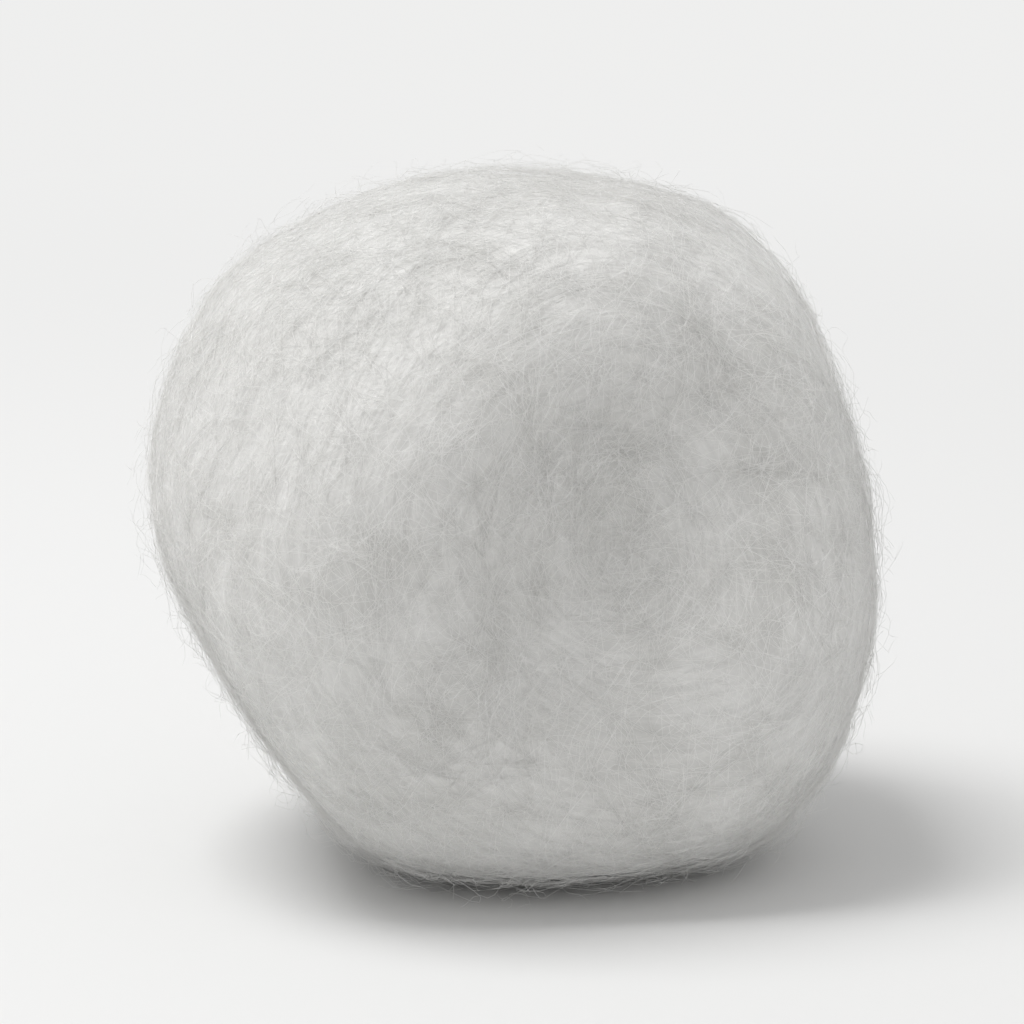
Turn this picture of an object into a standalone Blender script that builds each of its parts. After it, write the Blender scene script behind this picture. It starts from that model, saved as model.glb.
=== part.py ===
# A cotton ball: a strip of carded cotton rolled up on itself, with a dished whorl at each end of the roll,
# a spiral groove between the strip's turns, a soft lap where the strip ends, flats where other things pressed
# it and one true flat that it rests on. It is one closed body.
# Blender 4.5, metres, +Z up. The end with the wider dish looks towards -Y.
import math

import bmesh
import bpy
import numpy as np

# Driving dimensions, in metres
ROLL_DIAMETER = 0.0275  # across the roll, before anything presses it
ROLL_LENGTH = 0.0246  # along the axis of the roll, before its ends are dished

FRONT_DISH_RADIUS = 0.0088  # the wide shallow dish in the roll's front end
FRONT_DISH_DEPTH = 0.0022
FRONT_RIM_HEIGHT = 0.0009  # how far the ring of cotton round the dish stands out
FRONT_NAVEL_RADIUS = 0.0019  # the small pit in the middle of the whorl
FRONT_NAVEL_DEPTH = 0.0003

BACK_DISH_RADIUS = 0.0050
BACK_DISH_DEPTH = 0.0012
BACK_RIM_HEIGHT = 0.0003
BACK_NAVEL_RADIUS = 0.0016
BACK_NAVEL_DEPTH = 0.0008

STRIP_THICKNESS = 0.0070  # the groove between the turns moves out by this much in each turn
GROOVE_DEPTH = 0.00024
LAP_STEP = 0.00045  # the edge of the strip's end, which lies on the turn below it
LAP_EDGE_WIDTH = 0.0013

PRESS_DEPTH = 0.0018  # how far the hardest press pushed the round in
PRESS_EDGE = 0.0024  # how softly a pressed flat runs into the round
WAD_HEIGHT = 0.0014  # the tallest of the swellings of denser cotton
REST_RADIUS = 0.0052  # the true flat that the ball lies on
REST_EDGE = 0.0007  # how far above the flat its soft edge starts

# Proportions, and angles in degrees
ROLL_TURN = 22.0  # the front end is turned this far to +X from straight ahead
ROLL_RISE = 9.0  # and looks up by this much
DISH_STRETCH = 1.50  # the front dish is longer than wide,
DISH_STRETCH_TURN = 45.0  # from its lower left to its upper right
RIM_TURN = -62.0  # the ring is fullest at its lower right
RIM_UNEVENNESS = 0.45
RIM_PLACE = 1.09  # the ring's crest, in dish radii
RIM_WIDTH = 0.37
GROOVE_START_TURN = 190.0
GROOVE_NARROWNESS = 1.5
GROOVE_MIDDLE = 25.0  # the groove is deepest this far from the whorl's axis,
GROOVE_SPREAD = 14.0  # fades over this much on either side
GROOVE_BIRTH = 9.0  # and grows out of nothing this close to the axis
LAP_TURN = 24.0  # where the strip's end crosses the belly of the roll
LAP_SLANT = 0.45
LAP_WAVER = 0.10
LAP_WAVES = 5
LAP_FADE = 150.0  # the strip thins out over this much of a turn behind its edge

# What pressed the ball: turn from -Y towards +X, rise above level, and share of PRESS_DEPTH
PRESSES = (
    (-84.0, -34.0, 1.00),
    (93.0, 16.0, 0.40),
    (54.0, 54.0, 0.10),
    (-4.0, -76.0, 0.40),
    (150.0, 78.0, 0.15),
    (148.0, -32.0, 0.42),
    (-138.0, 12.0, 0.40),
    (172.0, 50.0, 0.22),
)

# Wads: turn, rise, share of WAD_HEIGHT and width in degrees. The first is the fullest side of the roll.
WADS = (
    (62.0, -38.0, 1.00, 27.0),
    (-95.0, 36.0, 0.36, 28.0),
    (-36.0, 38.0, 0.23, 30.0),
    (-100.0, -6.0, -0.10, 22.0),
    (118.0, 38.0, 0.23, 28.0),
    (-135.0, -40.0, 0.18, 24.0),
    (10.0, 82.0, -0.15, 24.0),
)

SPHERE_LEVELS = 5  # faces about 1 mm across
FINE_MARGIN = 1.1  # they are halved out to this many dish radii from each whorl's axis

COTTON_COLOUR = (0.82, 0.815, 0.795, 1.0)
COTTON_ROUGHNESS = 0.95


def direction(turn, rise):
    """Unit vector at this turn from -Y towards +X and this rise above level, in degrees."""
    turn = math.radians(turn)
    rise = math.radians(rise)
    level = math.cos(rise)
    return np.array((math.sin(turn) * level, -math.cos(turn) * level, math.sin(rise)))


def roll_axes():
    """The roll's own axes as its front end is looked at: right, up, and out towards the eye."""
    out = direction(ROLL_TURN, ROLL_RISE)
    right = np.cross((0.0, 0.0, 1.0), out)
    right /= np.linalg.norm(right)
    return right, np.cross(out, right), out


def roll_radius(ways):
    """Distance from the middle to the plain roll, an ellipsoid, along each unit vector."""
    along = (ways @ roll_axes()[2]) ** 2
    return 1.0 / np.sqrt((1.0 - along) / (ROLL_DIAMETER / 2) ** 2 + along / (ROLL_LENGTH / 2) ** 2)


def dish(away, radius, depth):
    """A saucer, away being the distance from its middle."""
    share = np.minimum(away / radius, 1.0)
    return -depth * (1.0 - share**2) ** 2


def ring(away, radius, height):
    """The round ridge of cotton that stands up about a dish."""
    return height * np.exp(-(((away / radius - RIM_PLACE) / RIM_WIDTH) ** 2))


def navel(away, radius, depth):
    """The small pit in the middle of a whorl."""
    return -depth * np.exp(-((away / radius) ** 2))


def front_whorl(angle, turn):
    """The roll's front end: a long dish, a ring that is fuller on one side, and a pit."""
    away = angle * ROLL_DIAMETER / 2
    along = np.cos(turn - math.radians(DISH_STRETCH_TURN)) ** 2
    radius = FRONT_DISH_RADIUS * (1.0 + (DISH_STRETCH - 1.0) * along)
    thin = RIM_UNEVENNESS * (1.0 - np.cos(turn - math.radians(RIM_TURN))) / 2
    edge = ring(away, radius, FRONT_RIM_HEIGHT) * (1.0 - thin)
    return dish(away, radius, FRONT_DISH_DEPTH) + edge + navel(away, FRONT_NAVEL_RADIUS, FRONT_NAVEL_DEPTH)


def back_whorl(angle):
    """The roll's back end: a round dish with an even ring and a pit."""
    away = angle * ROLL_DIAMETER / 2
    edge = ring(away, BACK_DISH_RADIUS, BACK_RIM_HEIGHT)
    pit = navel(away, BACK_NAVEL_RADIUS, BACK_NAVEL_DEPTH)
    return dish(away, BACK_DISH_RADIUS, BACK_DISH_DEPTH) + edge + pit


def groove(angle, turn, hand):
    """The groove between the strip's turns, an even spiral that fades at both of its ends."""
    turns_out = angle * ROLL_DIAMETER / 2 / STRIP_THICKNESS
    phase = turn - hand * 2 * math.pi * turns_out - math.radians(GROOVE_START_TURN)
    strength = np.exp(-(((angle - math.radians(GROOVE_MIDDLE)) / math.radians(GROOVE_SPREAD)) ** 2))
    strength *= 1.0 - np.exp(-((angle / math.radians(GROOVE_BIRTH)) ** 2))
    return -GROOVE_DEPTH * strength * np.exp(GROOVE_NARROWNESS * (np.cos(phase) - 1.0))


def lap(angle, turn):
    """The strip's end: a soft step at its edge that dies away behind it and towards both whorls."""
    edge = math.radians(LAP_TURN) + LAP_SLANT * (angle - math.pi / 2) + LAP_WAVER * np.sin(LAP_WAVES * angle)
    behind = np.mod(turn - edge + math.pi, 2 * math.pi) - math.pi
    softness = LAP_EDGE_WIDTH / (2 * ROLL_DIAMETER)
    rise = 1.0 / (1.0 + np.exp(-behind / softness))
    fade = np.clip(1.0 - behind / math.radians(LAP_FADE), 0.0, 1.0) ** 2
    return LAP_STEP * rise * fade * np.sin(angle) ** 2


def wads(ways):
    """Low swellings and hollows, each a bell round its own direction."""
    total = np.zeros(len(ways))
    for turn, rise, share, width in WADS:
        apart = np.arccos(np.clip(ways @ direction(turn, rise), -1.0, 1.0))
        total += share * WAD_HEIGHT * np.exp(-((apart / math.radians(width)) ** 2))
    return total


def rolled_points(ways):
    """The ball before anything presses it, as one point along each unit vector."""
    right, up, out = roll_axes()
    turn = np.arctan2(ways @ up, ways @ right)
    angle = np.arccos(np.clip(ways @ out, -1.0, 1.0))
    behind = math.pi - angle
    radius = roll_radius(ways) + wads(ways) + lap(angle, turn)
    radius += front_whorl(angle, turn) + groove(angle, turn, 1.0)
    radius += back_whorl(behind) + groove(behind, turn, -1.0)
    return ways * radius[:, None]


def soft_excess(past, edge):
    """How far past a plane a point is: 0 well inside it, all of it well outside, smooth between."""
    middle = (past + edge) ** 2 / (4 * edge)
    return np.where(past < -edge, 0.0, np.where(past > edge, past, middle))


def reach_past(depth, edge):
    """How far past its plane a point lies that soft_excess moves back by this depth."""
    return depth if depth > edge else 2 * math.sqrt(edge * depth) - edge


def pressed(points):
    """Pushes the round in towards the plane of each thing that pressed the ball."""
    for turn, rise, share in PRESSES:
        way = direction(turn, rise)
        limit = roll_radius(way[None, :])[0] - reach_past(share * PRESS_DEPTH, PRESS_EDGE)
        back = soft_excess(points @ way - limit, PRESS_EDGE)
        points = points - back[:, None] * way
    return points


def rested(points):
    """Flattens the underside to a true plane, REST_RADIUS across its middle, with a soft edge."""
    bottom = roll_radius(np.array(((0.0, 0.0, -1.0),)))[0]
    flat_height = -math.sqrt(bottom**2 - REST_RADIUS**2)
    floor = flat_height + REST_EDGE
    lifted = points.copy()
    lifted[:, 2] = floor + soft_excess(points[:, 2] - floor, REST_EDGE)
    return lifted


def standing_on_origin(points):
    """Moves the points so that the middle of their box's underside is the origin."""
    low = points.min(axis=0)
    high = points.max(axis=0)
    return points - np.array(((low[0] + high[0]) / 2, (low[1] + high[1]) / 2, low[2]))


def even_sphere():
    """A unit sphere of even triangles, with the faces round both whorls halved."""
    sphere = bmesh.new()
    bmesh.ops.create_icosphere(sphere, subdivisions=SPHERE_LEVELS, radius=1.0)
    out = roll_axes()[2]
    fine = []
    for edge in sphere.edges:
        along = float(np.dot((edge.verts[0].co + edge.verts[1].co).normalized(), out))
        radius = FRONT_DISH_RADIUS * DISH_STRETCH if along > 0 else BACK_DISH_RADIUS
        if math.acos(min(abs(along), 1.0)) < FINE_MARGIN * radius / (ROLL_DIAMETER / 2):
            fine.append(edge)
    bmesh.ops.subdivide_edges(sphere, edges=fine, cuts=1, use_grid_fill=True)
    bmesh.ops.triangulate(sphere, faces=sphere.faces[:])
    return sphere


def ball_mesh():
    """The ball's mesh: the even sphere's vertices moved onto the rolled, pressed and rested form."""
    sphere = even_sphere()
    ways = np.array([vertex.co for vertex in sphere.verts], dtype=float)
    ways /= np.linalg.norm(ways, axis=1)[:, None]
    points = standing_on_origin(rested(pressed(rolled_points(ways))))
    for vertex, point in zip(sphere.verts, points):
        vertex.co = point
    bmesh.ops.recalc_face_normals(sphere, faces=sphere.faces[:])
    mesh = bpy.data.meshes.new("cotton_ball")
    sphere.to_mesh(mesh)
    sphere.free()
    mesh.shade_smooth()
    return mesh


def cotton_material():
    """Bleached cotton wool: off-white and without any shine."""
    material = bpy.data.materials.new("cotton")
    material.use_nodes = True
    shader = material.node_tree.nodes["Principled BSDF"]
    shader.inputs["Base Color"].default_value = COTTON_COLOUR
    shader.inputs["Roughness"].default_value = COTTON_ROUGHNESS
    shader.inputs["Metallic"].default_value = 0.0
    return material


def main():
    for thing in list(bpy.data.objects):
        bpy.data.objects.remove(thing, do_unlink=True)
    collection = bpy.data.collections.new("cotton_ball")
    bpy.context.scene.collection.children.link(collection)
    ball = bpy.data.objects.new("cotton_ball", ball_mesh())
    ball.data.materials.append(cotton_material())
    collection.objects.link(ball)


main()
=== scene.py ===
import math

import bpy
import numpy as np
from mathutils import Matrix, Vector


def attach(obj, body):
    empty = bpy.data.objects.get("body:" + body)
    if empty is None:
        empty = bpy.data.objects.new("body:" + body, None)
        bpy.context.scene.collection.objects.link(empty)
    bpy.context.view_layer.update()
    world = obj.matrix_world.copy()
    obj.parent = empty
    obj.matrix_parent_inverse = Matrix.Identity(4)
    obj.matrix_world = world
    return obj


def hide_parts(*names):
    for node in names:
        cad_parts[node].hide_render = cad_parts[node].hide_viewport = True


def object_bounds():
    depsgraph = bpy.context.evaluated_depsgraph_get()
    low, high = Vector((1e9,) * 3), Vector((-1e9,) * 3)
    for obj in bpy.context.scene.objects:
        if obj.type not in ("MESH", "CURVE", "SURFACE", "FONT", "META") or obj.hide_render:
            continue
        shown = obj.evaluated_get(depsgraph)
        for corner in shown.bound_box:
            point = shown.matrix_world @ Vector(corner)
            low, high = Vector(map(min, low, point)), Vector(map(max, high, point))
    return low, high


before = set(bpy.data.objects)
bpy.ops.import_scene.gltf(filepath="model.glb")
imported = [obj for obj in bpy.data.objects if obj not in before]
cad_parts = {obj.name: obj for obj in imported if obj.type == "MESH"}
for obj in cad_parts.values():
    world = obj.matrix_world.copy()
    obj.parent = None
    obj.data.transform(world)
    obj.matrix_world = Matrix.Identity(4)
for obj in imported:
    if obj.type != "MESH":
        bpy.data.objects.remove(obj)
cadBox = [list(corner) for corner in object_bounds()]
cadLow = np.array(cadBox[0])
cadHigh = np.array(cadBox[1])
print("frame loaded")

# The ball's form, the same as the solid's. Lengths are in metres and angles in degrees.
ballForm = {
    "rollDiameter": 0.0275,
    "rollLength": 0.0246,
    "rollTurn": 22.0,  # the front end looks this far to +X of straight ahead
    "rollRise": 9.0,  # and up by this much
    "restRadius": 0.0052,  # of the true flat underneath
    "restEdge": 0.0007,  # how softly it runs into the round
    "pressDepth": 0.0018,  # how far the hardest press pushed the round in
    "pressEdge": 0.0024,  # how softly a pressed flat runs into the round
    "wadHeight": 0.0014,  # of the tallest swelling of denser cotton
}

# The front whorl is long from lower left to upper right, and its ring is fullest at the lower right.
frontWhorl = {
    "dishRadius": 0.0088,
    "dishDepth": 0.0022,
    "ringHeight": 0.0009,
    "navelRadius": 0.0019,
    "navelDepth": 0.0003,
    "stretch": 1.50,
    "stretchTurn": 45.0,
    "ringTurn": -62.0,
    "ringUnevenness": 0.45,
    "hand": 1.0,
}

backWhorl = {
    "dishRadius": 0.0050,
    "dishDepth": 0.0012,
    "ringHeight": 0.0003,
    "navelRadius": 0.0016,
    "navelDepth": 0.0008,
    "stretch": 1.0,
    "stretchTurn": 0.0,
    "ringTurn": 0.0,
    "ringUnevenness": 0.0,
    "hand": -1.0,
}

whorlRing = {"place": 1.09, "width": 0.37}  # in dish radii

spiralGroove = {
    "stripThickness": 0.0070,  # the groove moves out by this much in each turn
    "depth": 0.00024,
    "startTurn": 190.0,
    "narrowness": 1.5,
    "middle": 25.0,  # it is deepest this far from the whorl's axis,
    "spread": 14.0,  # fades over this much on either side
    "birth": 9.0,  # and grows out of nothing this close to the axis
}

stripLap = {
    "step": 0.00045,
    "edgeWidth": 0.0013,
    "turn": 24.0,  # where the strip's edge crosses the belly of the roll
    "slant": 0.45,
    "waver": 0.10,
    "waves": 5,
    "fade": 150.0,  # the strip thins out over this much of a turn behind its edge
}

# turn from -Y towards +X, rise above level, share of pressDepth
presses = (
    (-84.0, -34.0, 1.00),
    (93.0, 16.0, 0.40),
    (54.0, 54.0, 0.10),
    (-4.0, -76.0, 0.40),
    (150.0, 78.0, 0.15),
    (148.0, -32.0, 0.42),
    (-138.0, 12.0, 0.40),
    (172.0, 50.0, 0.22),
)

# turn, rise, share of wadHeight, width in degrees
wads = (
    (62.0, -38.0, 1.00, 27.0),
    (-95.0, 36.0, 0.36, 28.0),
    (-36.0, 38.0, 0.23, 30.0),
    (-100.0, -6.0, -0.10, 22.0),
    (118.0, 38.0, 0.23, 28.0),
    (-135.0, -40.0, 0.18, 24.0),
    (10.0, 82.0, -0.15, 24.0),
)


# Unit vector at a turn from -Y towards +X and a rise above level.
def directionOf(turn, rise):
    turn = math.radians(turn)
    rise = math.radians(rise)
    level = math.cos(rise)
    return np.array((math.sin(turn) * level, -math.cos(turn) * level, math.sin(rise)))


# Each vector over its own length.
def unit(vectors):
    return vectors / np.linalg.norm(vectors, axis=-1, keepdims=True)


rollOut = directionOf(ballForm["rollTurn"], ballForm["rollRise"])
rollRight = unit(np.cross((0.0, 0.0, 1.0), rollOut))
rollUp = np.cross(rollOut, rollRight)


# Ellipsoid: one over the root of the summed squares of the unit vector's parts over the half axes.
def rollRadius(ways):
    along = (ways @ rollOut) ** 2
    across = (1.0 - along) / (ballForm["rollDiameter"] / 2) ** 2
    return 1.0 / np.sqrt(across + along / (ballForm["rollLength"] / 2) ** 2)


# Dish: minus the depth times (1 - share squared) squared. Ring and navel: bells of the distance away.
def whorlHeight(angle, turn, whorl):
    away = angle * ballForm["rollDiameter"] / 2
    along = np.cos(turn - math.radians(whorl["stretchTurn"])) ** 2
    radius = whorl["dishRadius"] * (1.0 + (whorl["stretch"] - 1.0) * along)
    dish = -whorl["dishDepth"] * (1.0 - np.minimum(away / radius, 1.0) ** 2) ** 2
    thin = whorl["ringUnevenness"] * (1.0 - np.cos(turn - math.radians(whorl["ringTurn"]))) / 2
    crest = (away / radius - whorlRing["place"]) / whorlRing["width"]
    ring = whorl["ringHeight"] * np.exp(-(crest**2)) * (1.0 - thin)
    navel = -whorl["navelDepth"] * np.exp(-((away / whorl["navelRadius"]) ** 2))
    return dish + ring + navel


# Even spiral: a rounded trough wherever the turn less one whole turn for each strip thickness is nought.
def grooveHeight(angle, turn, hand):
    turnsOut = angle * ballForm["rollDiameter"] / 2 / spiralGroove["stripThickness"]
    phase = turn - hand * 2 * math.pi * turnsOut - math.radians(spiralGroove["startTurn"])
    middle = (angle - math.radians(spiralGroove["middle"])) / math.radians(spiralGroove["spread"])
    birth = 1.0 - np.exp(-((angle / math.radians(spiralGroove["birth"])) ** 2))
    trough = np.exp(spiralGroove["narrowness"] * (np.cos(phase) - 1.0))
    return -spiralGroove["depth"] * np.exp(-(middle**2)) * birth * trough


# Lap: an S-shaped step across the strip's wavering edge, fading behind it and towards both whorls.
def lapHeight(angle, turn):
    waver = stripLap["waver"] * np.sin(stripLap["waves"] * angle)
    edge = math.radians(stripLap["turn"]) + stripLap["slant"] * (angle - math.pi / 2) + waver
    behind = np.mod(turn - edge + math.pi, 2 * math.pi) - math.pi
    softness = stripLap["edgeWidth"] / (2 * ballForm["rollDiameter"])
    rise = 1.0 / (1.0 + np.exp(-behind / softness))
    fade = np.clip(1.0 - behind / math.radians(stripLap["fade"]), 0.0, 1.0) ** 2
    return stripLap["step"] * rise * fade * np.sin(angle) ** 2


# Wads: the sum of bells, each round its own direction.
def wadHeight(ways):
    total = np.zeros(ways.shape[:-1])
    for turn, rise, share, width in wads:
        apart = np.arccos(np.clip(ways @ directionOf(turn, rise), -1.0, 1.0))
        total += share * ballForm["wadHeight"] * np.exp(-((apart / math.radians(width)) ** 2))
    return total


# How far past a plane a point is: nought inside, all of it outside, a parabola between.
def softExcess(past, edge):
    middle = (past + edge) ** 2 / (4 * edge)
    return np.where(past < -edge, 0.0, np.where(past > edge, past, middle))


# Presses: each point past a press's plane goes straight back by its soft excess.
def pressed(points):
    for turn, rise, share in presses:
        way = directionOf(turn, rise)
        depth = share * ballForm["pressDepth"]
        edge = ballForm["pressEdge"]
        reach = 2 * math.sqrt(edge * depth) - edge
        back = softExcess(points @ way - rollRadius(way) + reach, edge)
        points = points - back[..., None] * way
    return points


# Rest: the height above the floor's plane becomes its own soft excess, which is flat below.
def rested(points):
    bottom = rollRadius(np.array((0.0, 0.0, -1.0)))
    floor = ballForm["restEdge"] - math.sqrt(bottom**2 - ballForm["restRadius"] ** 2)
    lifted = points.copy()
    lifted[..., 2] = floor + softExcess(points[..., 2] - floor, ballForm["restEdge"])
    return lifted


# The angle from the roll's axis and the turn round it.
def rollAngles(ways):
    angle = np.arccos(np.clip(ways @ rollOut, -1.0, 1.0))
    return angle, np.arctan2(ways @ rollUp, ways @ rollRight)


# The solid's surface about its own middle: the ellipsoid and every height above, then pressed and rested.
def solidPoints(ways):
    angle, turn = rollAngles(ways)
    behind = math.pi - angle
    radius = rollRadius(ways) + wadHeight(ways) + lapHeight(angle, turn)
    radius += whorlHeight(angle, turn, frontWhorl) + grooveHeight(angle, turn, frontWhorl["hand"])
    radius += whorlHeight(behind, turn, backWhorl) + grooveHeight(behind, turn, backWhorl["hand"])
    return rested(pressed(ways * radius[..., None]))


latticeSide = 32  # the noise repeats after this many spacings


# Smooth noise from -1 to 1: random values on a cubic lattice, blended along each axis by a quintic curve.
def cloudNoise(points, spacing, seed):
    lattice = np.random.default_rng(seed).uniform(-1.0, 1.0, (latticeSide, latticeSide, latticeSide))
    place = points / spacing
    cell = np.floor(place).astype(int)
    part = place - cell
    blend = part**3 * (part * (6 * part - 15) + 10)
    total = np.zeros(points.shape[:-1])
    for corner in range(8):
        pick = np.array((corner & 1, corner >> 1 & 1, corner >> 2 & 1))
        weight = np.prod(np.where(pick == 1, blend, 1.0 - blend), axis=-1)
        spot = (cell + pick) % latticeSide
        total += weight * lattice[spot[..., 0], spot[..., 1], spot[..., 2]]
    return total


# The way the fibres run: round the roll, wandering a little, and inwards near each whorl.
fibreFlow = {
    "seed": 71,
    "bendSpacing": 0.0045,  # the grain wanders over this distance
    "bend": 34.0,  # by this many degrees
    "whorlPull": 32.0,  # near the whorls it turns inwards by this many degrees
    "whorlReach": 34.0,
}


# A vector square to its axis, turned about it: cosine of it plus sine of their cross product.
def turned(vectors, axes, angles):
    cosine = np.cos(angles)[..., None]
    sine = np.sin(angles)[..., None]
    return vectors * cosine + np.cross(axes, vectors) * sine


# Heading: square to the roll's axis, turned about the outward way by noise and by a bell round each whorl.
# The tiny share of rollRight decides it at the two poles, where the cross product is nought.
def grainHeading(ways):
    around = unit(np.cross(rollOut, ways) + 1e-9 * rollRight)
    angle, _ = rollAngles(ways)
    wander = cloudNoise(ways * ballForm["rollDiameter"] / 2, fibreFlow["bendSpacing"], fibreFlow["seed"])
    reach = math.radians(fibreFlow["whorlReach"])
    pull = np.exp(-((angle / reach) ** 2)) - np.exp(-(((math.pi - angle) / reach) ** 2))
    heading = math.radians(fibreFlow["bend"]) * wander + math.radians(fibreFlow["whorlPull"]) * pull
    return turned(around, ways, heading)


# The uneven packing of the cotton: round lumps, and on the body long streaks that follow the grain.
cottonRelief = {
    "seed": 41,
    "lumps": ((0.0050, 0.00011), (0.0026, 0.00009), (0.0013, 0.00005)),  # spacing, height
    "fadeHeight": 0.0016,  # the relief is gone where the ball meets the floor
    "streaks": ((0.0013, 0.0030, 0.00005), (0.0006, 0.0016, 0.00004)),  # spacing, half length, height
    "streakSamples": 7,
    "streakSeed": 48,
    "poleFade": 10.0,  # degrees from each pole, where the grain has no one way, to full streaks
}


# A smooth step from nought at the floor to one at the fade height.
def nearFloor(points):
    low = np.clip((points[..., 2] - lowestPoint) / cottonRelief["fadeHeight"], 0.0, 1.0)
    return low * low * (3 - 2 * low)


# Lumps: the sum of three sizes of noise.
def lumpHeight(points):
    total = np.zeros(points.shape[:-1])
    for number, (spacing, height) in enumerate(cottonRelief["lumps"]):
        total += height * cloudNoise(points, spacing, cottonRelief["seed"] + number)
    return total * nearFloor(points)


# Streaks: noise averaged over evenly spaced places up and down the grain, which smears it that way.
def streakHeight(ways, points):
    heading = grainHeading(ways)
    total = np.zeros(points.shape[:-1])
    for number, (spacing, reach, height) in enumerate(cottonRelief["streaks"]):
        smear = np.zeros(points.shape[:-1])
        for share in np.linspace(-1.0, 1.0, cottonRelief["streakSamples"]):
            place = points + heading * reach * share
            smear += cloudNoise(place, spacing, cottonRelief["streakSeed"] + number)
        total += height * smear / math.sqrt(cottonRelief["streakSamples"])
    fromPole = np.sin(rollAngles(ways)[0]) / math.sin(math.radians(cottonRelief["poleFade"]))
    return total * nearFloor(points) * (1.0 - np.exp(-(fromPole**2)))


# The ball is centred sideways on the middle of the solid's box, and its lowest point is the floor.
woolBody = {
    "rows": 270,
    "columns": 350,
    "inset": 0.00016,  # the dense wool starts this far below the matted skin
    "grainAlong": 6.0,  # the grain attribute's cells are long round the roll
    "grainAcross": 60.0,  # and narrow across it
    "grainWander": 0.05,
    "normalStep": 0.004,  # how far the points that give a normal lie apart, in radians
    "normalAside": (0.3, -0.2, 0.5),  # uneven, so that the first of the two steps is nought hardly anywhere
}
angleRows = np.linspace(0.0, math.pi, woolBody["rows"] + 1)[1:-1]
turnColumns = np.linspace(0.0, 2 * math.pi, woolBody["columns"], endpoint=False)
gridAngle, gridTurn = np.meshgrid(angleRows, turnColumns, indexing="ij")
roundRoll = np.cos(gridTurn)[..., None] * rollRight + np.sin(gridTurn)[..., None] * rollUp
gridWays = np.cos(gridAngle)[..., None] * rollOut + np.sin(gridAngle)[..., None] * roundRoll
gridSolid = solidPoints(gridWays).reshape(-1, 3)
lowestPoint = gridSolid[:, 2].min()
toFrame = (cadLow + cadHigh) / 2 - (gridSolid.min(axis=0) + gridSolid.max(axis=0)) / 2
toFrame[2] = cadLow[2] - lowestPoint


# Points and outward normals of the relieved surface: the normal is square to two short steps along it.
def ballSurface(ways):
    def relieved(outward):
        points = solidPoints(outward)
        return points + outward * lumpHeight(points)[..., None]

    step = woolBody["normalStep"]
    points = relieved(ways)
    sideways = unit(np.cross(ways, np.roll(ways, 1, axis=-1) + woolBody["normalAside"]))
    upwards = np.cross(ways, sideways)
    acrossStep = relieved(unit(ways + step * sideways)) - points
    alongStep = relieved(unit(ways + step * upwards)) - points
    return points + toFrame, unit(np.cross(acrossStep, alongStep))


# An object of these triangles at the origin, with a UV for each of their corners where they are given.
def meshFromTriangles(name, points, triangles, uvs=None):
    mesh = bpy.data.meshes.new(name)
    mesh.vertices.add(len(points))
    mesh.vertices.foreach_set("co", points.astype(np.float32).ravel())
    mesh.loops.add(triangles.size)
    mesh.loops.foreach_set("vertex_index", triangles.astype(np.int32).ravel())
    mesh.polygons.add(len(triangles))
    mesh.polygons.foreach_set("loop_start", np.arange(0, triangles.size, 3, dtype=np.int32))
    mesh.update(calc_edges=True)
    if uvs is not None:
        layer = mesh.uv_layers.new(name="OFBake")
        layer.uv.foreach_set("vector", uvs.astype(np.float32).ravel())
    mesh.validate()
    mesh.shade_smooth()
    piece = bpy.data.objects.new(name, mesh)
    bpy.context.scene.collection.objects.link(piece)
    return piece


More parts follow.
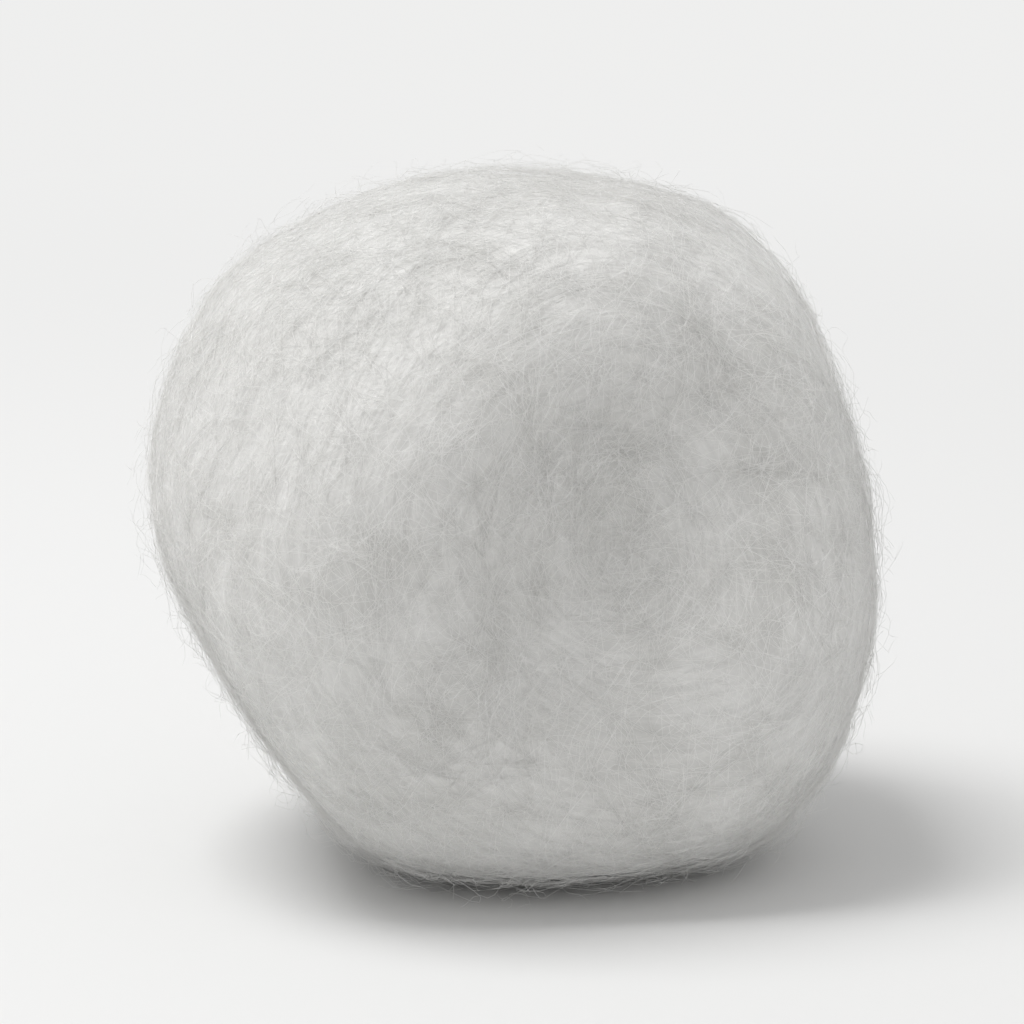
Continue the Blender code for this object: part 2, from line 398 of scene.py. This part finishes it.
# Cotton wool: the body of the ball, a closed grid of angle from the roll's axis by turn round it.
def makeBody():
    rows, columns = gridAngle.shape
    poles = np.stack((rollOut, -rollOut))
    ways = np.concatenate((gridWays.reshape(-1, 3), poles))
    points, _ = ballSurface(ways)
    away = streakHeight(ways, points - toFrame) - woolBody["inset"]
    points = points + ways * away[:, None]
    points[:, 2] = np.maximum(points[:, 2], cadLow[2])
    index = np.arange(rows * columns).reshape(rows, columns)
    nextColumn = np.roll(index, -1, axis=1)
    a, b = index[:-1].ravel(), nextColumn[:-1].ravel()
    c, d = nextColumn[1:].ravel(), index[1:].ravel()
    front, back = rows * columns, rows * columns + 1
    first, firstNext = index[0], nextColumn[0]
    last, lastNext = index[-1], nextColumn[-1]
    triangles = np.concatenate((
        np.stack((a, d, c), axis=1),
        np.stack((a, c, b), axis=1),
        np.stack((np.full(columns, front), first, firstNext), axis=1),
        np.stack((np.full(columns, back), lastNext, last), axis=1),
    ))
    u = np.tile(np.arange(columns) / columns, (rows, 1))
    v = np.tile((angleRows / math.pi)[:, None], (1, columns))
    uNext = u + 1.0 / columns
    uvA = np.stack((u[:-1], v[:-1]), axis=-1).reshape(-1, 2)
    uvB = np.stack((uNext[:-1], v[:-1]), axis=-1).reshape(-1, 2)
    uvC = np.stack((uNext[1:], v[1:]), axis=-1).reshape(-1, 2)
    uvD = np.stack((u[1:], v[1:]), axis=-1).reshape(-1, 2)
    middle = (u[0] + uNext[0]) / 2
    tipUv = np.stack((
        np.stack((middle, np.zeros(columns)), axis=1),
        np.stack((u[0], v[0]), axis=1),
        np.stack((uNext[0], v[0]), axis=1),
    ), axis=1)
    tailUv = np.stack((
        np.stack((middle, np.ones(columns)), axis=1),
        np.stack((uNext[-1], v[-1]), axis=1),
        np.stack((u[-1], v[-1]), axis=1),
    ), axis=1)
    uvs = np.concatenate((
        np.stack((uvA, uvD, uvC), axis=1),
        np.stack((uvA, uvC, uvB), axis=1),
        tipUv,
        tailUv,
    ))
    piece = meshFromTriangles("cotton_wool", points, triangles, uvs.reshape(-1, 2))
    angle, turn = rollAngles(ways)
    wander = cloudNoise(points, fibreFlow["bendSpacing"], fibreFlow["seed"])
    grain = np.stack((
        woolBody["grainAlong"] * np.sin(angle) * np.cos(turn),
        woolBody["grainAlong"] * np.sin(angle) * np.sin(turn),
        woolBody["grainAcross"] * (angle + woolBody["grainWander"] * wander),
    ), axis=-1)
    layer = piece.data.attributes.new("grain", "FLOAT_VECTOR", "POINT")
    layer.data.foreach_set("vector", grain.astype(np.float32).ravel())
    return piece


# What all the fibres share.
fibreHabit = {
    "kinkMemory": 0.6,  # the share of the last kink that the next one keeps
    "lowness": 1.7,  # above 1, more of them lie low
    "ownCurl": 0.35,  # how far a curl strays from its tuft's, as a share of the set's curl
    "archPower": 0.8,  # a fibre held at both ends rises as this power of a half wave,
    "springPower": 1.6,  # and one with a free end as this power of the share run
    "wave": 0.18,  # the height of the waves along it, as a share of its lift
    "waves": (1.0, 2.5),
    "sunk": 0.00002,  # its ends are this far below the skin, and none comes nearer the floor
}

# Lengths in metres, turns in degrees. The spread is about the grain, the tuft's values within a tuft.
fibreSets = {
    "matted_fibres": {
        "seed": 11, "tufts": 1200, "inTuft": 3, "points": 9,
        "length": (0.0035, 0.0070), "spread": 22.0, "tuftWidth": 0.00035, "tuftSpread": 9.0, "crimp": 9.0,
        "curl": 40.0, "lift": (-0.00006, 0.00014), "radius": (0.000007, 0.000011), "freeEnd": 0.0,
    },
    "crossing_fibres": {
        "seed": 12, "tufts": 2100, "inTuft": 2, "points": 9,
        "length": (0.0026, 0.0052), "spread": 48.0, "tuftWidth": 0.00045, "tuftSpread": 18.0, "crimp": 12.0,
        "curl": 60.0, "lift": (-0.00002, 0.00024), "radius": (0.000006, 0.000009), "freeEnd": 0.0,
    },
    "looped_fibres": {
        "seed": 13, "tufts": 4000, "inTuft": 1, "points": 10,
        "length": (0.0020, 0.0046), "spread": 70.0, "tuftWidth": 0.0003, "tuftSpread": 20.0, "crimp": 14.0,
        "curl": 110.0, "lift": (0.00004, 0.00050), "radius": (0.000005, 0.000008), "freeEnd": 0.15,
    },
    "wisps": {
        "seed": 14, "tufts": 230, "inTuft": 7, "points": 10,
        "length": (0.0028, 0.0058), "spread": 55.0, "tuftWidth": 0.00022, "tuftSpread": 14.0, "crimp": 11.0,
        "curl": 90.0, "lift": (0.00012, 0.00080), "radius": (0.000005, 0.000007), "freeEnd": 0.4,
    },
    "stray_fibres": {
        "seed": 15, "tufts": 2600, "inTuft": 1, "points": 11,
        "length": (0.0018, 0.0046), "spread": 90.0, "tuftWidth": 0.0003, "tuftSpread": 20.0, "crimp": 15.0,
        "curl": 170.0, "lift": (0.00012, 0.00125), "radius": (0.0000045, 0.0000060), "freeEnd": 1.0,
    },
}


# Random values, even between two limits.
def between(rng, limits, count):
    return rng.uniform(limits[0], limits[1], count)


# Evenly spread unit vectors: even heights along an axis and even turns about it.
def evenWays(rng, count):
    height = rng.uniform(-1.0, 1.0, count)
    turn = rng.uniform(0.0, 2 * math.pi, count)
    level = np.sqrt(1.0 - height**2)
    return np.stack((level * np.cos(turn), level * np.sin(turn), height), axis=1)


# Fibres: a fibre starts somewhere on the ball, heads round the roll give or take its spread, and creeps over
# the ball in equal steps. At each it turns by its share of the curl and by a kink that half remembers the
# last one. Its lift above the surface is a curve of the share run.
def growFibres(kind):
    rng = np.random.default_rng(kind["seed"])
    radius = ballForm["rollDiameter"] / 2
    tufts, inTuft = kind["tufts"], kind["inTuft"]
    curlSpread = math.radians(kind["curl"])
    tuftWays = evenWays(rng, tufts)
    tuftTurn = rng.normal(0.0, math.radians(kind["spread"]), tufts)
    tuftCurl = rng.normal(0.0, curlSpread, tufts)
    count = tufts * inTuft
    scatter = rng.normal(0.0, kind["tuftWidth"] / radius, (count, 3))
    ways = unit(np.repeat(tuftWays, inTuft, axis=0) + scatter)
    turnBy = np.repeat(tuftTurn, inTuft) + rng.normal(0.0, math.radians(kind["tuftSpread"]), count)
    flip = np.where(rng.random(count) < 0.5, 0.0, math.pi)
    heading = turned(grainHeading(ways), ways, turnBy + flip)
    curl = np.repeat(tuftCurl, inTuft) + rng.normal(0.0, curlSpread * fibreHabit["ownCurl"], count)
    length = between(rng, kind["length"], count)
    steps = kind["points"] - 1
    stride = length / steps / radius
    route = [ways]
    kink = np.zeros(count)
    for step in range(steps):
        kink = fibreHabit["kinkMemory"] * kink + rng.normal(0.0, math.radians(kind["crimp"]), count)
        heading = turned(heading, ways, curl / steps + kink)
        ways = unit(ways + heading * stride[:, None])
        heading = unit(heading - np.sum(heading * ways, axis=1, keepdims=True) * ways)
        route.append(ways)
    ways = np.stack(route, axis=1)
    points, normals = ballSurface(ways)
    share = np.linspace(0.0, 1.0, kind["points"])[None, :]
    free = (rng.random(count) < kind["freeEnd"])[:, None]
    low, high = kind["lift"]
    top = low + (high - low) * rng.random((count, 1)) ** fibreHabit["lowness"]
    arch = np.sin(math.pi * share) ** fibreHabit["archPower"]
    sprung = share ** fibreHabit["springPower"]
    fewest, most = fibreHabit["waves"]
    phase = share * rng.uniform(fewest, most, (count, 1)) + rng.random((count, 1))
    wave = fibreHabit["wave"] * np.sin(2 * math.pi * phase) * share * (1.0 - share) * 4
    lift = top * (np.where(free, sprung, arch) + wave) - fibreHabit["sunk"]
    points = points + normals * lift[..., None]
    points[..., 2] = np.maximum(points[..., 2], cadLow[2] + fibreHabit["sunk"])
    thickness = between(rng, kind["radius"], count)[:, None] * np.ones_like(share)
    return points, thickness


fibreTube = {
    "sides": 3,
    "aside": (0.31, -0.52, 0.79),  # a way that hardly any fibre runs in, which the rings are turned from
    "cellMargin": 0.1,  # each fibre has its own cell of the UV square, with this share of it left free
}


# Tubes: rings square to each line, closed by a point at both ends.
def makeFibres(name, kind):
    lines, thickness = growFibres(kind)
    sides = fibreTube["sides"]
    count, along, _ = lines.shape
    rings = along - 2
    forward = unit(np.gradient(lines, axis=1))
    steady = unit(np.cross(forward[:, along // 2], fibreTube["aside"]))[:, None, :]
    side = unit(np.cross(forward, steady))
    up = np.cross(side, forward)
    corners = 2 * math.pi * np.arange(sides) / sides
    ring = np.cos(corners)[:, None] * side[:, 1:-1, None, :]
    ring = ring + np.sin(corners)[:, None] * up[:, 1:-1, None, :]
    ringPoints = lines[:, 1:-1, None, :] + ring * thickness[:, 1:-1, None, None]
    ringPoints = ringPoints.reshape(count, rings * sides, 3)
    points = np.concatenate((ringPoints, lines[:, :1], lines[:, -1:]), axis=1)
    first = np.arange(rings - 1)[:, None] * sides
    corner = np.arange(sides)[None, :]
    nextCorner = (corner + 1) % sides
    a, b = first + corner, first + nextCorner
    c, d = b + sides, a + sides
    walls = np.concatenate((np.stack((a, b, c), axis=-1), np.stack((a, c, d), axis=-1))).reshape(-1, 3)
    start, end = rings * sides, rings * sides + 1
    lastRing = (rings - 1) * sides
    corner, nextCorner = corner[0], nextCorner[0]
    startCap = np.stack((np.full(sides, start), nextCorner, corner), axis=1)
    endCap = np.stack((np.full(sides, end), lastRing + corner, lastRing + nextCorner), axis=1)
    pattern = np.concatenate((walls, startCap, endCap))
    triangles = pattern[None] + (np.arange(count) * (rings * sides + 2))[:, None, None]
    cellsAcross = math.ceil(math.sqrt(count))
    cells = np.stack((np.arange(count) % cellsAcross, np.arange(count) // cellsAcross), axis=1)[:, None, :]
    ringShare = np.repeat(np.arange(1, rings + 1) / (along - 1), sides)
    cornerShare = np.tile(np.linspace(0.0, 1.0, sides), rings)
    inCell = np.stack((np.append(ringShare, (0.0, 1.0)), np.append(cornerShare, (0.5, 0.5))), axis=1)
    margin = fibreTube["cellMargin"]
    uvs = (cells + margin + (1.0 - 2 * margin) * inCell[pattern.ravel()][None]) / cellsAcross
    return meshFromTriangles(name, points.reshape(-1, 3), triangles.reshape(-1, 3), uvs.reshape(-1, 2))


def newMaterial(name):
    material = bpy.data.materials.new(name)
    material.use_nodes = True
    nodes = material.node_tree.nodes
    return material, nodes, material.node_tree.links, nodes["Principled BSDF"]


# The matte and the sheen of a cotton, from its dictionary.
def setMatte(shader, finish):
    shader.inputs["Roughness"].default_value = finish["roughness"]
    shader.inputs["Specular IOR Level"].default_value = finish["specular"]
    shader.inputs["Sheen Weight"].default_value = finish["sheen"]
    shader.inputs["Sheen Roughness"].default_value = finish["sheenRoughness"]


def noiseOn(nodes, links, vector, scale, detail):
    noise = nodes.new("ShaderNodeTexNoise")
    noise.inputs["Scale"].default_value = scale
    noise.inputs["Detail"].default_value = detail
    links.new(vector, noise.inputs["Vector"])
    return noise.outputs["Fac"]


toneStops = (0.35, 0.65)  # the noise values that get the first and the second colour


def toneOf(nodes, links, noise, first, second):
    tone = nodes.new("ShaderNodeValToRGB")
    for stop, place, colour in zip(tone.color_ramp.elements, toneStops, (first, second)):
        stop.position = place
        stop.color = colour
    links.new(noise, tone.inputs["Fac"])
    return tone.outputs["Color"]


def multiplied(nodes, links, first, second):
    mix = nodes.new("ShaderNodeMix")
    mix.data_type = "RGBA"
    mix.blend_type = "MULTIPLY"
    mix.inputs["Factor"].default_value = 1.0
    links.new(first, mix.inputs["A"])
    links.new(second, mix.inputs["B"])
    return mix.outputs["Result"]


# The dense wool under the skin: cloudy off-white, streaked along the grain, with a fine fuzz in the bump.
# Its off-white is a little darker than the fibres' white, partly the wool's own tone and partly painted
# shade for the gaps between the fibres.
woolFinish = {
    # thin and dense both lie below the fibres' colours, partly as painted shade for the gaps between fibres
    "thin": (0.76, 0.755, 0.735, 1.0),
    "dense": (0.86, 0.855, 0.838, 1.0),
    "cloud": (300.0, 5.0),  # scale and detail of each noise
    "streak": (1.0, 4.0),
    "fuzz": (6000.0, 3.0),
    "strand": (1.6, 6.0),
    "streakShade": (0.90, 0.90, 0.90, 1.0),
    "bumpDistance": 0.00006,
    "roughness": 1.0,
    "specular": 0.1,
    "sheen": 0.5,
    "sheenRoughness": 0.5,
}


def woolMaterial():
    material, nodes, links, shader = newMaterial("cottonWool")
    setMatte(shader, woolFinish)
    place = nodes.new("ShaderNodeTexCoord").outputs["Object"]
    attribute = nodes.new("ShaderNodeAttribute")
    attribute.attribute_name = "grain"
    grain = attribute.outputs["Vector"]
    white = (1.0, 1.0, 1.0, 1.0)
    cloud = noiseOn(nodes, links, place, *woolFinish["cloud"])
    cloudTone = toneOf(nodes, links, cloud, woolFinish["thin"], woolFinish["dense"])
    streak = noiseOn(nodes, links, grain, *woolFinish["streak"])
    streakTone = toneOf(nodes, links, streak, woolFinish["streakShade"], white)
    links.new(multiplied(nodes, links, cloudTone, streakTone), shader.inputs["Base Color"])
    height = nodes.new("ShaderNodeMath")
    height.operation = "ADD"
    links.new(noiseOn(nodes, links, place, *woolFinish["fuzz"]), height.inputs[0])
    links.new(noiseOn(nodes, links, grain, *woolFinish["strand"]), height.inputs[1])
    bump = nodes.new("ShaderNodeBump")
    bump.inputs["Distance"].default_value = woolFinish["bumpDistance"]
    links.new(height.outputs["Value"], bump.inputs["Height"])
    links.new(bump.outputs["Normal"], shader.inputs["Normal"])
    return material


# Single fibres: nearly white, a little duller here and there, with the soft bright edge of bleached cotton.
fibreFinish = {
    "dull": (0.92, 0.915, 0.895, 1.0),
    "bright": (0.97, 0.965, 0.95, 1.0),
    "tone": (700.0, 2.0),  # scale and detail of its noise
    "roughness": 0.8,
    "specular": 0.2,
    "sheen": 0.7,
    "sheenRoughness": 0.4,
}


def fibreMaterial():
    material, nodes, links, shader = newMaterial("cottonFibre")
    setMatte(shader, fibreFinish)
    place = nodes.new("ShaderNodeTexCoord").outputs["Object"]
    noise = noiseOn(nodes, links, place, *fibreFinish["tone"])
    tone = toneOf(nodes, links, noise, fibreFinish["dull"], fibreFinish["bright"])
    links.new(tone, shader.inputs["Base Color"])
    return material


print("making the body")
wool = makeBody()
wool.data.materials.append(woolMaterial())
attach(wool, "root")
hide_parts("cotton_ball")

fibreLook = fibreMaterial()
for fibreName, fibreKind in fibreSets.items():
    print("growing", fibreName)
    fibres = makeFibres(fibreName, fibreKind)
    fibres.data.materials.append(fibreLook)
    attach(fibres, "root")
    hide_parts("cotton_ball")
    print(fibreName, len(fibres.data.polygons), "triangles")


studio = {
    "elevation": 12.0,  # degrees that the camera looks down
    "lens": 150.0,  # in mm, as the sensor
    "sensor": 36.0,
    "clip": (0.01, 20.0),
    "share": 0.70,  # of the frame's width that the ball fills
    "aim": (0.0, 0.0, 0.0128),
    "floorSize": 4.0,
    "floorColour": (0.80, 0.80, 0.795, 1.0),
    "floorRoughness": 0.9,
    "floorSpecular": 0.1,
    "backdropColour": (0.86, 0.86, 0.855, 1.0),  # what is seen far behind the ball, where 1 is white
    "fade": (0.03, 0.20),  # the floor turns into the backdrop between these distances
    "skyStrength": 0.60,
    "keyPlace": (-0.15, 0.0, 0.40),
    "keySize": 0.20,
    "keyPower": 1.06,  # watts
}


def makeCamera():
    data = bpy.data.cameras.new("camera")
    data.lens = studio["lens"]
    data.sensor_width = studio["sensor"]
    camera = bpy.data.objects.new("camera", data)
    bpy.context.scene.collection.objects.link(camera)
    width = (cadHigh[0] - cadLow[0]) / studio["share"]
    distance = width * studio["lens"] / studio["sensor"]
    away = directionOf(0.0, studio["elevation"])
    camera.location = np.array(studio["aim"]) + away * distance
    camera.rotation_euler = (math.radians(90.0 - studio["elevation"]), 0.0, 0.0)
    data.clip_start, data.clip_end = studio["clip"]
    bpy.context.scene.camera = camera


# Nought for light that bounces off something dull, one for what the camera, a gloss or a glass shows.
def seenDirectly(nodes, links):
    path = nodes.new("ShaderNodeLightPath")
    total = path.outputs["Is Camera Ray"]
    for kind in ("Is Glossy Ray", "Is Transmission Ray"):
        add = nodes.new("ShaderNodeMath")
        add.operation = "ADD"
        add.use_clamp = True
        links.new(total, add.inputs[0])
        links.new(path.outputs[kind], add.inputs[1])
        total = add.outputs["Value"]
    return total


def makeFloor():
    half = studio["floorSize"] / 2
    corners = np.array(((-half, -half, 0.0), (half, -half, 0.0), (half, half, 0.0), (-half, half, 0.0)))
    floor = meshFromTriangles("floor", corners, np.array(((0, 1, 2), (0, 2, 3))))
    material, nodes, links, shader = newMaterial("paleFloor")
    shader.inputs["Base Color"].default_value = studio["floorColour"]
    shader.inputs["Roughness"].default_value = studio["floorRoughness"]
    shader.inputs["Specular IOR Level"].default_value = studio["floorSpecular"]
    backdrop = nodes.new("ShaderNodeEmission")
    backdrop.inputs["Color"].default_value = studio["backdropColour"]
    place = nodes.new("ShaderNodeTexCoord")
    far = nodes.new("ShaderNodeVectorMath")
    far.operation = "LENGTH"
    links.new(place.outputs["Object"], far.inputs[0])
    fade = nodes.new("ShaderNodeMapRange")
    fade.interpolation_type = "SMOOTHSTEP"
    fade.inputs["From Min"].default_value = studio["fade"][0]
    fade.inputs["From Max"].default_value = studio["fade"][1]
    links.new(far.outputs["Value"], fade.inputs["Value"])
    seen = nodes.new("ShaderNodeMath")
    seen.operation = "MULTIPLY"
    links.new(fade.outputs["Result"], seen.inputs[0])
    links.new(seenDirectly(nodes, links), seen.inputs[1])
    mix = nodes.new("ShaderNodeMixShader")
    links.new(seen.outputs["Value"], mix.inputs["Fac"])
    links.new(shader.outputs["BSDF"], mix.inputs[1])
    links.new(backdrop.outputs["Emission"], mix.inputs[2])
    links.new(mix.outputs["Shader"], nodes["Material Output"].inputs["Surface"])
    floor.data.materials.append(material)


def makeSky():
    world = bpy.data.worlds.new("studio")
    bpy.context.scene.world = world
    world.use_nodes = True
    nodes, links = world.node_tree.nodes, world.node_tree.links
    sky = nodes["Background"]
    sky.inputs["Strength"].default_value = studio["skyStrength"]
    sky.inputs["Color"].default_value = (1.0, 1.0, 1.0, 1.0)
    backdrop = nodes.new("ShaderNodeBackground")
    backdrop.inputs["Color"].default_value = studio["backdropColour"]
    mix = nodes.new("ShaderNodeMixShader")
    links.new(seenDirectly(nodes, links), mix.inputs["Fac"])
    links.new(sky.outputs["Background"], mix.inputs[1])
    links.new(backdrop.outputs["Background"], mix.inputs[2])
    links.new(mix.outputs["Shader"], nodes["World Output"].inputs["Surface"])


# The lamp looks straight down at first, is tilted by the angle between that and the aim, then swung round.
def makeKeyLight():
    data = bpy.data.lights.new("keyLight", "AREA")
    data.size = studio["keySize"]
    data.energy = studio["keyPower"]
    light = bpy.data.objects.new("keyLight", data)
    bpy.context.scene.collection.objects.link(light)
    place = np.array(studio["keyPlace"])
    light.location = place
    towards = np.array(studio["aim"]) - place
    tilt = math.atan2(math.hypot(towards[0], towards[1]), -towards[2])
    swing = math.atan2(towards[1], towards[0]) - math.pi / 2
    light.rotation_euler = (tilt, 0.0, swing)


makeCamera()
makeFloor()
makeSky()
makeKeyLight()
bpy.context.scene.view_settings.view_transform = "Standard"
print("stage set")
